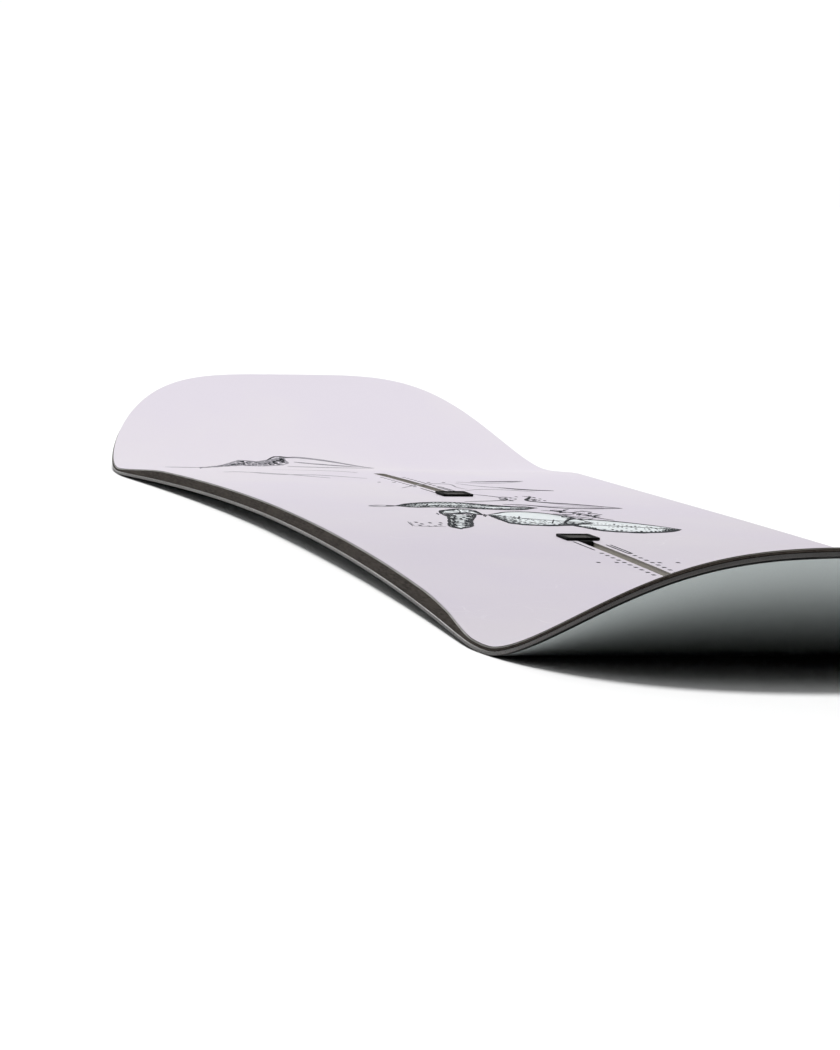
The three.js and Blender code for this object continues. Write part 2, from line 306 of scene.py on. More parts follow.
def spread(tree, value, low, high, to_low=0.0, to_high=1.0):
    """Turns a value between low and high into one between to_low and to_high."""
    limits = {"From Min": low, "From Max": high, "To Min": to_low, "To Max": to_high}
    return add_node(tree, "ShaderNodeMapRange", {"Value": value, **limits}).outputs["Result"]


def surface(tree, shader, tone, gloss, relief, strength, depth):
    """Joins a finish to its shader: colour, roughness and fine relief."""
    tree.links.new(tone, shader.inputs["Base Color"])
    tree.links.new(gloss, shader.inputs["Roughness"])
    bump = add_node(tree, "ShaderNodeBump", {"Height": relief, "Strength": strength, "Distance": depth})
    tree.links.new(bump.outputs["Normal"], shader.inputs["Normal"])


number = "NodeSocketFloat"

# Fine texture: grains of noise, stretched along the board or even, as a height and a mask.
grain_group, given, wanted = effect(
    "surface grain",
    {"Size": (number, 0.001), "Stretch": (number, 1.0)},
    {"Height": number, "Mask": number},
)
spot = add_node(grain_group, "ShaderNodeTexCoord").outputs["Object"]
parts = add_node(grain_group, "ShaderNodeSeparateXYZ", {"Vector": spot}).outputs
shortened = maths(grain_group, "DIVIDE", parts["X"], given["Stretch"])
joined = add_node(grain_group, "ShaderNodeCombineXYZ", {"X": shortened, "Y": parts["Y"], "Z": parts["Z"]})
often = maths(grain_group, "DIVIDE", 1.0, given["Size"])
noise = {"Vector": joined.outputs[0], "Scale": often, "Detail": 4.0, "Roughness": 0.5}
fine = add_node(grain_group, "ShaderNodeTexNoise", noise).outputs["Fac"]
grain_group.links.new(fine, wanted["Height"])
grain_group.links.new(spread(grain_group, fine, 0.38, 0.62), wanted["Mask"])

# Handling marks: short thin scratches lying every way, as a mask.
scratch_group, given, wanted = effect(
    "fine scratches", {"Size": (number, 0.01), "Amount": (number, 0.5)}, {"Mask": number})
spot = add_node(scratch_group, "ShaderNodeTexCoord").outputs["Object"]
often = maths(scratch_group, "DIVIDE", 1.0, given["Size"])
bent = add_node(scratch_group, "ShaderNodeTexNoise", {"Vector": spot, "Scale": 40.0, "Detail": 1.0})
drift = {0: bent.outputs["Color"], 1: (0.02, 0.02, 0.0)}
swept = add_node(scratch_group, "ShaderNodeVectorMath", drift, operation="MULTIPLY")
moved = add_node(scratch_group, "ShaderNodeVectorMath", {0: spot, 1: swept.outputs[0]}, operation="ADD")
cells = add_node(
    scratch_group, "ShaderNodeTexVoronoi", {"Vector": moved.outputs[0], "Scale": often},
    feature="DISTANCE_TO_EDGE")
thin = maths(scratch_group, "LESS_THAN", cells.outputs["Distance"], 0.02)
patchy = add_node(scratch_group, "ShaderNodeTexNoise", {"Vector": spot, "Scale": 25.0, "Detail": 2.0})
faded = spread(scratch_group, patchy.outputs["Fac"], 0.55, 0.75)
kept = maths(scratch_group, "MULTIPLY", thin, faded)
scratch_group.links.new(maths(scratch_group, "MULTIPLY", kept, given["Amount"]), wanted["Mask"])

base_material = bpy.data.materials.new("waxed running base")
tree, shader = nodes_of(base_material)
lines = use_effect(tree, grain_group, Size=0.0009, Stretch=60.0)
patches = use_effect(tree, grain_group, Size=0.09, Stretch=2.0)
tone = mixed(tree, patches.outputs["Mask"], (0.67, 0.735, 0.73), (0.74, 0.80, 0.795))
tone = mixed(tree, lines.outputs["Mask"], tone, (0.70, 0.76, 0.755))
# The base throws little light on, so that the shadow under the raised ends stays dark.
path = add_node(tree, "ShaderNodeLightPath")
tone = mixed(tree, path.outputs["Is Diffuse Ray"], tone, (0.12, 0.13, 0.13))
gloss = ramp(tree, lines.outputs["Height"], (0.3, 0.30), (0.7, 0.40))
surface(tree, shader, tone, gloss, lines.outputs["Height"], 0.25, 0.00003)

ground_bevel = 0.0001
base_inset = edge_width + rim_gap
base_sheet = layer("base_sheet_ground", [
    (base_inset + ground_bevel, above_base(0)),
    (base_inset, above_base(ground_bevel)),
    (base_inset, above_base(base_thickness)),
])
base_sheet.data.materials.append(base_material)
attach(base_sheet, "board")
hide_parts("base_sheet")

# ---- Steel edges ----
# Two hardened steel bars wrap the board, one on each side, meeting at nose and tail. Each has a
# thin flange pressed into the layers; the bar's outer and lower faces are ground and show.
flange_reach, flange_thickness, foil_thickness = 0.005, 0.0004, 0.0002
flange_inner = edge_width + flange_reach
flange_top = edge_height - foil_thickness - glue_line
flange_bottom = flange_top - flange_thickness
corner, small_corner, bright_corner = 0.0002, 0.00006, 0.0004
joint_gap = 0.0003


def rim_bar(name, section, side, stations=slice(None), least_y=joint_gap / 2, end_x=None):
    """A closed bar along one rim; its section is a loop of (inset, height) corners."""
    way = 1 if side == "left" else -1
    rows = []
    for inset, height in section:
        line = inset_rim(inset)[stations].copy()
        line[:, 1] = np.maximum(line[:, 1], least_y)
        if end_x:
            line[0, 0], line[-1, 0] = end_x
        rows.append([(x, way * y, z) for (x, y), z in zip(line, height(line[:, 0]))])
    count, corners = len(rows[0]), len(section)
    vertices = [rows[k][i] for i in range(count) for k in range(corners)]
    faces = []
    for i in range(count - 1):
        for k in range(corners):
            n = (k + 1) % corners
            faces.append((i * corners + k, i * corners + n, (i + 1) * corners + n, (i + 1) * corners + k))
    faces.append(tuple(range(corners)))
    faces.append(tuple((count - 1) * corners + k for k in range(corners)))
    return tidy_mesh(make_object(name, vertices, faces))


steel = bpy.data.materials.new("ground steel edge")
tree, shader = nodes_of(steel)
shader.inputs["Metallic"].default_value = 1
brushed = use_effect(tree, grain_group, Size=0.0003, Stretch=40.0)
stains = use_effect(tree, grain_group, Size=0.02, Stretch=3.0)
scratches = use_effect(tree, scratch_group, Size=0.006, Amount=0.7)
tone = mixed(tree, stains.outputs["Mask"], (0.48, 0.45, 0.43), (0.66, 0.64, 0.62))
tone = mixed(tree, brushed.outputs["Mask"], tone, (0.5, 0.5, 0.5))
gloss = ramp(tree, brushed.outputs["Height"], (0.3, 0.24), (0.7, 0.42))
gloss = mixed(tree, scratches.outputs["Mask"], gloss, (0.6, 0.6, 0.6))
surface(tree, shader, tone, gloss, brushed.outputs["Height"], 0.3, 0.00002)

edge_section = [
    (corner, above_base(0)),
    (0, above_base(corner)),
    (0, above_base(edge_height - bright_corner)),
    (bright_corner, above_base(edge_height)),
    (edge_width - small_corner, above_base(edge_height)),
    (edge_width, above_base(edge_height - small_corner)),
    (edge_width, above_base(flange_top)),
    (flange_inner, above_base(flange_top)),
    (flange_inner, above_base(flange_bottom)),
    (edge_width, above_base(flange_bottom)),
    (edge_width, above_base(small_corner)),
    (edge_width - small_corner, above_base(0)),
]
for side in ("left", "right"):
    bar = rim_bar(f"ground_edge_{side}", edge_section, side)
    bar.data.materials.append(steel)
    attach(bar, "board")
    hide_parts(f"steel_edge_{side}")

# ---- Damping foil and lower fibreglass ----
# A strip of black rubber lies on each edge's flange and calms its ringing. Inside it a sheet of
# woven glass set in resin covers the base.
rubber_foil = bpy.data.materials.new("damping foil rubber")
tree, shader = nodes_of(rubber_foil)
dust = use_effect(tree, grain_group, Size=0.004, Stretch=1.0)
pores = use_effect(tree, grain_group, Size=0.0004, Stretch=1.0)
tone = mixed(tree, dust.outputs["Mask"], (0.006, 0.006, 0.006), (0.02, 0.02, 0.019))
gloss = ramp(tree, pores.outputs["Height"], (0.3, 0.6), (0.7, 0.85))
surface(tree, shader, tone, gloss, pores.outputs["Height"], 0.4, 0.00003)
foil_section = [
    (base_inset, above_base(edge_height - foil_thickness)),
    (base_inset, above_base(edge_height)),
    (flange_inner, above_base(edge_height)),
    (flange_inner, above_base(edge_height - foil_thickness)),
]
for side in ("left", "right"):
    foil = rim_bar(f"rubber_foil_{side}", foil_section, side)
    foil.data.materials.append(rubber_foil)
    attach(foil, "board")
    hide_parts(f"edge_damping_foil_{side}")

# A mask for whatever lies within Reach of the board's centre line. Where the layers are routed
# through for the channels, their cut faces are paler than at the outer rim.
routed_group, given, wanted = effect("routed channel cut", {"Reach": (number, 0.008)}, {"Mask": number})
spot = add_node(routed_group, "ShaderNodeTexCoord").outputs["Object"]
sideways = add_node(routed_group, "ShaderNodeSeparateXYZ", {"Vector": spot}).outputs["Y"]
away = maths(routed_group, "ABSOLUTE", sideways)
routed_group.links.new(maths(routed_group, "LESS_THAN", away, given["Reach"]), wanted["Mask"])

glass_cloth = bpy.data.materials.new("woven glass in resin")
tree, shader = nodes_of(glass_cloth)
spot = add_node(tree, "ShaderNodeTexCoord").outputs["Object"]
threads = {"Vector": spot, "Scale": 160.0, "Distortion": 0.6}
warp = add_node(tree, "ShaderNodeTexWave", threads, bands_direction="X")
weft = add_node(tree, "ShaderNodeTexWave", threads, bands_direction="Y")
woven = maths(tree, "MULTIPLY", warp.outputs["Fac"], weft.outputs["Fac"])
tint = use_effect(tree, grain_group, Size=0.03, Stretch=1.0)
tone = mixed(tree, woven, (0.055, 0.05, 0.038), (0.10, 0.095, 0.075))
tone = mixed(tree, tint.outputs["Mask"], tone, (0.085, 0.075, 0.06))
routed = use_effect(tree, routed_group)
tone = mixed(tree, routed.outputs["Mask"], tone, (0.42, 0.40, 0.37))
gloss = ramp(tree, woven, (0.0, 0.32), (1.0, 0.5))
surface(tree, shader, tone, gloss, woven, 0.3, 0.00005)
lower_glass = layer("lower_glass_cloth", [
    (flange_inner + rim_gap, above_base(base_thickness + glue_line)),
    (flange_inner + rim_gap, above_base(edge_height)),
])
lower_glass.data.materials.append(glass_cloth)
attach(lower_glass, "board")
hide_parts("lower_fibreglass")

# ---- Wood core ----
# Nine strips of light and dark wood stand side by side and run from contact line to contact
# line. They are milled thinner towards the ends and pocketed for the channels.
strip_count = 9


def wood(name, early, late, seed):
    material = bpy.data.materials.new(name)
    tree, shader = nodes_of(material)
    spot = add_node(tree, "ShaderNodeTexCoord").outputs["Object"]
    placed = {"Vector": spot, "Location": (seed, seed * 2, 0), "Scale": (0.05, 1, 1)}
    laid = add_node(tree, "ShaderNodeMapping", placed)
    drift = add_node(tree, "ShaderNodeTexNoise", {"Vector": laid.outputs[0], "Scale": 60.0, "Detail": 3.0})
    rings = add_node(tree, "ShaderNodeTexWave", {
        "Vector": laid.outputs[0], "Scale": 60.0, "Distortion": 6.0, "Detail": 2.0}, bands_direction="Y")
    fibre = use_effect(tree, grain_group, Size=0.0006, Stretch=50.0)
    tone = mixed(tree, rings.outputs["Fac"], early, late)
    tone = mixed(tree, drift.outputs["Fac"], tone, early)
    tone = mixed(tree, fibre.outputs["Mask"], tone, tuple(0.85 * c for c in late))
    gloss = ramp(tree, fibre.outputs["Height"], (0.3, 0.55), (0.7, 0.75))
    surface(tree, shader, tone, gloss, fibre.outputs["Height"], 0.35, 0.0001)
    return material


pale_wood = wood("pale poplar", (0.62, 0.47, 0.28), (0.50, 0.34, 0.18), 0.3)
dark_wood = wood("dark beech", (0.40, 0.24, 0.12), (0.29, 0.16, 0.075), 0.7)


def dress(node, material):
    """Gives a CAD node its finish in place of the plain one."""
    slots = frame["nodes"][node].data.materials
    slots.clear()
    slots.append(material)


for strip in range(1, strip_count + 1):
    dress(f"core_strip_{strip}", dark_wood if strip % 2 == 0 else pale_wood)

# ---- Sidewalls and end spacers ----
# Brown-black ABS closes the core off: a strip down each side, cut on a lean from the steel edge
# up to the deck, and a flat piece that fills each raised end.
sidewall_width, sidewall_lean, end_lean, lean_blend = 0.012, 0.0038, 0.001, 0.08
spacer_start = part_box("core_strip_5")[1].x
core_bottom = edge_height + glue_line
topsheet_thickness, upper_glass_thickness = 0.0004, 0.0005
upper_glass_top = topsheet_thickness + glue_line
upper_glass_bottom = upper_glass_top + upper_glass_thickness
core_top = upper_glass_bottom + glue_line


def lean_at(depth):
    """How far the outer face stands in from the rim, at a depth below the deck."""
    def inset(x):
        wide = np.where(x < 0, -tail_wide, nose_wide)
        share = np.clip((wide - np.abs(x)) / lean_blend, 0, 1)
        full = end_lean + (sidewall_lean - end_lean) * share
        high = thickness(x)
        return full * (high - depth - edge_height) / (high - edge_height)
    return inset


def lean_from_base(height):
    def inset(x):
        return lean_at(thickness(x) - height)(x)
    return inset


abs_plastic = bpy.data.materials.new("brown-black sidewall")
tree, shader = nodes_of(abs_plastic)
shader.inputs["Specular IOR Level"].default_value = 0.004
sawn = use_effect(tree, grain_group, Size=0.0008, Stretch=14.0)
cloudy = use_effect(tree, grain_group, Size=0.012, Stretch=3.0)
pores = use_effect(tree, grain_group, Size=0.0005, Stretch=1.0)
scratches = use_effect(tree, scratch_group, Size=0.008, Amount=0.6)
tone = mixed(tree, cloudy.outputs["Mask"], (0.018, 0.0145, 0.0125), (0.040, 0.033, 0.028))
tone = mixed(tree, sawn.outputs["Mask"], tone, (0.050, 0.042, 0.036))
tone = mixed(tree, scratches.outputs["Mask"], tone, (0.05, 0.044, 0.039))
gloss = ramp(tree, pores.outputs["Height"], (0.3, 0.42), (0.7, 0.62))
surface(tree, shader, tone, gloss, sawn.outputs["Height"], 0.5, 0.00006)

milled_edge = 0.0002
stations = np.flatnonzero(np.abs(left_rim[:, 0]) < spacer_start)
wall_span = slice(stations[0] - 1, stations[-1] + 2)
wall_section = [
    (lean_from_base(core_bottom), above_base(core_bottom)),
    (lean_at(core_top + milled_edge), below_deck(core_top + milled_edge)),
    (lambda x: lean_at(core_top)(x) + milled_edge, below_deck(core_top)),
    (sidewall_width, below_deck(core_top)),
    (sidewall_width, above_base(core_bottom)),
]
for side in ("left", "right"):
    wall = rim_bar(f"milled_sidewall_{side}", wall_section, side, wall_span, 0, (-spacer_start, spacer_start))
    wall.data.materials.append(abs_plastic)
    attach(wall, "board")
    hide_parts(f"sidewall_{side}")

for end, way in (("nose", 1), ("tail", -1)):
    spacer = layer(f"milled_spacer_{end}", [
        (lean_from_base(core_bottom), above_base(core_bottom)),
        (lean_at(core_top + milled_edge), below_deck(core_top + milled_edge)),
        (lambda x: lean_at(core_top)(x) + milled_edge, below_deck(core_top)),
    ])
    shape = bmesh.new()
    shape.from_mesh(spacer.data)
    everything = shape.verts[:] + shape.edges[:] + shape.faces[:]
    cut = bmesh.ops.bisect_plane(
        shape, geom=everything, plane_co=(way * (spacer_start + rim_gap), 0, 0), plane_no=(way, 0, 0),
        clear_inner=True)
    cut_edges = [e for e in cut["geom_cut"] if isinstance(e, bmesh.types.BMEdge)]
    bmesh.ops.holes_fill(shape, edges=cut_edges, sides=0)
    shape.to_mesh(spacer.data)
    shape.free()
    tidy_mesh(spacer)
    spacer.data.materials.append(abs_plastic)
    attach(spacer, "board")
    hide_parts(f"end_spacer_{end}")

# ---- Channel tracks ----
# A moulded track of glass-filled nylon sits in the core below each slot; its wide groove holds
# the square nuts of the binding screws.
track_plastic = bpy.data.materials.new("track nylon")
tree, shader = nodes_of(track_plastic)
flow = use_effect(tree, grain_group, Size=0.002, Stretch=25.0)
pores = use_effect(tree, grain_group, Size=0.0005, Stretch=1.0)
tone = mixed(tree, flow.outputs["Mask"], (0.50, 0.475, 0.44), (0.60, 0.575, 0.535))
tone = mixed(tree, pores.outputs["Mask"], tone, (0.54, 0.515, 0.475))
gloss = ramp(tree, pores.outputs["Height"], (0.3, 0.45), (0.7, 0.65))
surface(tree, shader, tone, gloss, flow.outputs["Height"], 0.4, 0.0001)
for end in ("nose", "tail"):
    dress(f"channel_track_{end}", track_plastic)

# ---- Upper fibreglass and topsheet ----
# Woven glass covers the core, and a thin matt printed plastic sheet covers the glass. Both are
# routed through above each channel: a long slot, wider under the plug where the nuts go in.
slot_half, entry_half, entry_corner = 0.0035, 0.00675, 0.0015
slot_corner = 0.999 * slot_half
cutter_low, cutter_high = -0.01, 0.05
plate_length, entry_length = 0.029, 0.020
tongue_overhang = 0.010
plug_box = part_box("channel_plug_nose")
track_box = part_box("channel_track_nose")
track_wall = 0.0032
channel_inner, channel_outer = plug_box[0].x, track_box[1].x - track_wall
entry_start = channel_inner + (plate_length - entry_length) / 2


def round_outline(x0, x1, half, radius, steps=8):
    points = []
    for cx, cy, turn in ((x1 - radius, half - radius, 0), (x0 + radius, half - radius, 1),
                         (x0 + radius, radius - half, 2), (x1 - radius, radius - half, 3)):
        for i in range(steps + 1):
            angle = (turn + i / steps) * math.pi / 2
            points.append((cx + radius * math.cos(angle), cy + radius * math.sin(angle)))
    return points


def upright(name, outline, low, high):
    count = len(outline)
    vertices = [(x, y, z) for z in (low, high) for x, y in outline]
    faces = [(i, (i + 1) % count, count + (i + 1) % count, count + i) for i in range(count)]
    faces += [tuple(reversed(range(count))), tuple(range(count, 2 * count))]
    return tidy_mesh(make_object(name, vertices, faces))


def cut_mouths(piece):
    for way in (1, -1):
        slot_start = entry_start + entry_length / 2
        slot_points = round_outline(slot_start, channel_outer, slot_half, slot_corner)
        entry_points = round_outline(entry_start, entry_start + entry_length, entry_half, entry_corner)
        for outline in (slot_points, entry_points):
            tool = upright("cutter", [(way * x, y) for x, y in outline], cutter_low, cutter_high)
            cut = piece.modifiers.new("mouth", "BOOLEAN")
            cut.operation, cut.solver, cut.object = "DIFFERENCE", "EXACT", tool
            bpy.context.view_layer.update()
            settled = piece.evaluated_get(bpy.context.evaluated_depsgraph_get())
            result = bpy.data.meshes.new_from_object(settled)
            piece.modifiers.clear()
            piece.data = result
            bpy.data.objects.remove(tool)
    piece.data.set_sharp_from_angle(angle=crease_angle)


upper_glass = layer("upper_glass_cloth", [
    (lean_at(upper_glass_bottom), below_deck(upper_glass_bottom)),
    (lean_at(upper_glass_top), below_deck(upper_glass_top)),
])
cut_mouths(upper_glass)
upper_glass.data.materials.append(glass_cloth)
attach(upper_glass, "board")
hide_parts("upper_fibreglass")

topsheet_film = bpy.data.materials.new("matt lilac topsheet")
tree, shader = nodes_of(topsheet_film)
spot = add_node(tree, "ShaderNodeTexCoord").outputs["Object"]
clouds = use_effect(tree, grain_group, Size=0.12, Stretch=2.0)
matting = use_effect(tree, grain_group, Size=0.0004, Stretch=1.0)
scratches = use_effect(tree, scratch_group, Size=0.02, Amount=0.25)
along = add_node(tree, "ShaderNodeSeparateXYZ", {"Vector": spot}).outputs["X"]
# Painted light: the deck is painted darker near the tail and lighter towards the nose, standing in for the
# light it catches more brightly further along.
painted_light_toward_nose = spread(tree, along, -0.25, 0.75)
tone = mixed(tree, painted_light_toward_nose, (0.560, 0.522, 0.574), (0.72, 0.68, 0.728))
tone = mixed(tree, clouds.outputs["Mask"], tone, mixed(tree, 1.0, tone, (0.97, 0.96, 1.0), "MULTIPLY"))
tone = mixed(tree, matting.outputs["Mask"], tone, mixed(tree, 1.0, tone, (0.975, 0.975, 0.975), "MULTIPLY"))
tone = mixed(tree, scratches.outputs["Mask"], tone, (0.70, 0.68, 0.71))
upward_facing = add_node(tree, "ShaderNodeNewGeometry").outputs["Normal"]
height_part = add_node(tree, "ShaderNodeSeparateXYZ", {"Vector": upward_facing}).outputs["Z"]
on_top = spread(tree, height_part, 0.55, 0.75)
routed = use_effect(tree, routed_group)
cut_face = mixed(tree, routed.outputs["Mask"], (0.035, 0.030, 0.027), (0.48, 0.46, 0.43))
tone = mixed(tree, on_top, cut_face, tone)
gloss = ramp(tree, matting.outputs["Height"], (0.3, 0.52), (0.7, 0.66))
gloss = mixed(tree, scratches.outputs["Mask"], gloss, (0.4, 0.4, 0.4))
surface(tree, shader, tone, gloss, matting.outputs["Height"], 0.3, 0.00002)

eased_edge = 0.00015
topsheet = layer("printed_topsheet", [
    (lean_at(topsheet_thickness), below_deck(topsheet_thickness)),
    (lean_at(eased_edge), below_deck(eased_edge)),
    (lambda x: lean_at(0)(x) + eased_edge, below_deck(0)),
])
cut_mouths(topsheet)
topsheet.data.materials.append(topsheet_film)
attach(topsheet, "board")
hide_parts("topsheet")

# ---- Printed marks and drawing ----
# Ink under the matt surface: stance dots beside each slot, and a plain line drawing of leaves,
# a seed pod, a sprig and tendrils between the channels. Thin raised shapes follow the deck.
draw = random.Random(7)
ink_step, ink_lift, ink_film = 0.004, 0.00002, 0.00004
thin_nib, fill_rows, fill_columns, stipple_rows = 0.3, 24, 4, 40
curve_cuts = 12


def ink(name, dark, pale):
    material = bpy.data.materials.new(name)
    tree, shader = nodes_of(material)
    shader.inputs["Specular IOR Level"].default_value = 0.02
    blots = use_effect(tree, grain_group, Size=0.003, Stretch=1.0)
    tone = mixed(tree, blots.outputs["Mask"], dark, pale)
    gloss = ramp(tree, blots.outputs["Height"], (0.3, 0.5), (0.7, 0.65))
    surface(tree, shader, tone, gloss, blots.outputs["Height"], 0.2, 0.00002)
    return material


line_ink = ink("dark line ink", (0.012, 0.014, 0.017), (0.030, 0.034, 0.040))
faint_ink = ink("faint line ink", (0.26, 0.25, 0.28), (0.36, 0.35, 0.38))
wash_ink = ink("pale wash ink", (0.63, 0.67, 0.69), (0.70, 0.73, 0.74))


def smooth_path(points):
    """A smooth curve through the given points, cut into short equal steps."""
    points = [Vector(p) for p in points]
    padded = [2 * points[0] - points[1], *points, 2 * points[-1] - points[-2]]
    dense = []
    for a, b, c, d in zip(padded, padded[1:], padded[2:], padded[3:]):
        for i in range(curve_cuts):
            t = i / curve_cuts
            dense.append(0.5 * (2 * b + (c - a) * t + (2 * a - 5 * b + 4 * c - d) * t * t
                                + (3 * b - a - 3 * c + d) * t ** 3))
    dense.append(points[-1])
    dense = np.array([tuple(p) for p in dense])
    length = np.hypot(*np.diff(dense, axis=0).T).sum()
    return evenly(dense, max(3, int(length / ink_step) + 1))


class Drawing:
    """Collects thin shapes on the deck that are printed in one ink."""

    def __init__(self, lift):
        self.vertices, self.faces, self.lift = [], [], lift

    def add(self, outline_rows):
        """Rows of points across a shape; neighbouring rows are joined by faces."""
        start = len(self.vertices)
        width = len(outline_rows[0])
        for row in outline_rows:
            for x, y in row:
                self.vertices.append((x, y, float(below_deck(0)(x)) + self.lift))
        for i in range(len(outline_rows) - 1):
            for k in range(width - 1):
                a = start + i * width + k
                self.faces.append((a, a + 1, a + width + 1, a + width))

    def line(self, points, width, taper=0.25, wobble=0.15):
        """A pen line with a flat nib: broad across the board, fine along it."""
        path = smooth_path(points)
        along = np.gradient(path, axis=0)
        along /= np.linalg.norm(along, axis=1)[:, None] + 1e-12
        across = np.stack([-along[:, 1], along[:, 0]], axis=1)
        rows = []
        for i, (p, n) in enumerate(zip(path, across)):
            share = i / (len(path) - 1)
            swell = taper + (1 - taper) * math.sin(math.pi * share) ** 0.5
            nib = thin_nib + (1 - thin_nib) * abs(n[0])
            half = width / 2 * nib * swell * (1 + draw.uniform(-wobble, wobble))
            rows.append([p + n * half, p - n * half])
        self.add(rows)

    def fill(self, one_side, other_side):
        """A flat wash between two curves."""
        a = evenly(smooth_path(one_side), fill_rows)
        b = evenly(smooth_path(other_side), fill_rows)
        shares = [k / fill_columns for k in range(fill_columns + 1)]
        self.add([[p + (q - p) * share for share in shares] for p, q in zip(a, b)])

    def dot(self, x, y, length, width):
        self.add([[(x - length / 2, y - width / 2), (x - length / 2, y + width / 2)],
                  [(x + length / 2, y - width / 2), (x + length / 2, y + width / 2)]])

    def stipple(self, one_side, other_side, count, size, low=0.1, high=0.9):
        """Loose dots between two curves, from one share of the way across to another."""
        a = evenly(smooth_path(one_side), stipple_rows)
        b = evenly(smooth_path(other_side), stipple_rows)
        for _ in range(count):
            i, share = draw.randrange(stipple_rows), draw.uniform(low, high)
            p = a[i] + (b[i] - a[i]) * share
            self.dot(p[0], p[1], size * draw.uniform(1.0, 3.0), size * draw.uniform(0.6, 1.2))

    def finish(self, name, material):
        made = make_object(name, self.vertices, self.faces)
        made.data.materials.append(material)
        made.data.polygons.foreach_set("use_smooth", [True] * len(made.data.polygons))
        thick = made.modifiers.new("film", "SOLIDIFY")
        thick.thickness, thick.offset = ink_film, 1
        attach(made, "board")


def mm(*points):
    return [(x / 1000, y / 1000) for x, y in points]


dark_lines, faint_lines, washes = Drawing(ink_lift * 3), Drawing(ink_lift * 2), Drawing(ink_lift)

# A seed pod lying across the board, stippled along both edges.
pod_far = mm((66, 54), (85, 44), (99, 27), (97, 12), (80, -1), (64, -14), (54, -25))
pod_near = mm((66, 54), (54, 46), (57, 34), (53, 20), (42, 6), (38, -12), (54, -25))
washes.fill(pod_far, pod_near)
dark_lines.line(pod_far, 0.0048)
dark_lines.line(pod_near, 0.0060)
dark_lines.stipple(pod_far, pod_near, 420, 0.0017, 0.03, 0.32)
dark_lines.stipple(pod_far, pod_near, 330, 0.0018, 0.68, 0.97)
dark_lines.stipple(pod_far, pod_near, 150, 0.0012)
for k in range(11):
    y = 47 - 6.4 * k
    dark_lines.line(mm((62 + k, y), (72 - k, y - 5), (86 - 3 * k, y - 8)), 0.0026)
dark_lines.line(mm((66, 54), (70, 38), (74, 18), (62, -4), (54, -25)), 0.0030)
faint_lines.line(mm((66, 54), (72, 62), (64, 70), (58, 64), (66, 54)), 0.0050)
dark_lines.line(mm((66, 60), (66, 54)), 0.0060, 0.6)

# A sprig below it, with a ruffled cap and a stubbled stem.
sprig_left = mm((0, 39), (-22, 41), (-60, 48), (-92, 54), (-107, 51))
sprig_right = mm((-4, 22), (-22, 26), (-52, 34), (-88, 41), (-107, 51))
cap_top = mm((4, 40), (26, 36), (36, 29), (43, 22), (30, 16), (-4, 18))
cap_low = mm((4, 40), (6, 35), (0, 30), (6, 26), (-2, 21), (-4, 18))
for upper, lower in ((sprig_left, sprig_right), (cap_top, cap_low)):
    washes.fill(upper, lower)
    dark_lines.line(upper, 0.0040, 0.5, 0.4)
    dark_lines.line(lower, 0.0040, 0.5, 0.4)
    dark_lines.stipple(upper, lower, 120, 0.0016, 0.02, 0.28)
    dark_lines.stipple(upper, lower, 120, 0.0016, 0.72, 0.98)
    dark_lines.stipple(upper, lower, 60, 0.0014)
for k in range(8):
    x = -14 - 11 * k
    y = 32 + 1.9 * k
    dark_lines.line(mm((x, y + 6), (x + 8, y + 1), (x + 1, y - 5)), 0.0022)
dark_lines.line(mm((40, 24), (20, 26), (0, 31)), 0.0022)
for x, y in ((8, 42), (2, 40), (-4, 40), (10, 17), (2, 16), (-6, 18)):
    dark_lines.line(mm((x, y), (x - 14, y + 1.2)), 0.0030)

# A few loose seeds beside the sprig.
for x, y in ((-62, 67), (-74, 66), (-66, 60), (-66, 54), (-90, 65), (-89, 61), (-80, 57), (-84, 69)):
    dark_lines.dot(x / 1000, y / 1000, 0.006, 0.0016)
faint_lines.line(mm((-60, 70), (-78, 72), (-90, 73)), 0.0016)
dark_lines.line(mm((-58, 71), (-74, 72.5), (-90, 74)), 0.0014)
faint_lines.line(mm((-90, 73), (-91, 64), (-92, 56)), 0.0024)

# Two broad leaves end to end.
leaf_a_near = mm((-5, 15), (-38, 15), (-66, 14), (-79, 5), (-81, -6), (-76, -18), (-62, -32))
leaf_a_far = mm((-5, 15), (4, 9), (18, 0), (20, -12), (6, -22), (-20, -28), (-62, -32))
leaf_b_near = mm((-66, -15), (-92, -20), (-117, -27), (-127, -41), (-124, -57), (-105, -71))
leaf_b_far = mm((-66, -15), (-34, -27), (-44, -42), (-62, -54), (-84, -64), (-105, -71))
for far_side, near_side in ((leaf_a_far, leaf_a_near), (leaf_b_far, leaf_b_near)):
    washes.fill(far_side, near_side)
    dark_lines.line(far_side, 0.0052)
    dark_lines.line(near_side, 0.0090, 0.4, 0.3)
    dark_lines.stipple(near_side, far_side, 160, 0.0013, 0.02, 0.2)
dark_lines.line(mm((-5, 15), (-28, 2), (-46, -14), (-62, -32)), 0.0036)
dark_lines.line(mm((-66, -15), (-80, -34), (-94, -54), (-105, -71)), 0.0030)
dark_lines.stipple(leaf_a_near, leaf_a_far, 220, 0.0013, 0.1, 0.45)
dark_lines.stipple(leaf_b_near, leaf_b_far, 150, 0.0012, 0.35, 0.75)
dark_lines.line(mm((-36, 4), (-14, -1)), 0.0020, 0.7)
dark_lines.line(mm((-68, -8), (-40, -15)), 0.0020, 0.7)
for k in range(6):
    dark_lines.line(mm((-14 - 9 * k, 9 - 6 * k), (-32 - 8 * k, 10 - 6 * k)), 0.0014)
for k in range(5):
    dark_lines.line(mm((-100 - 1.6 * k, -69 + 1.2 * k), (-110 - 1.4 * k, -67 + 2.2 * k)), 0.0022, 0.6)

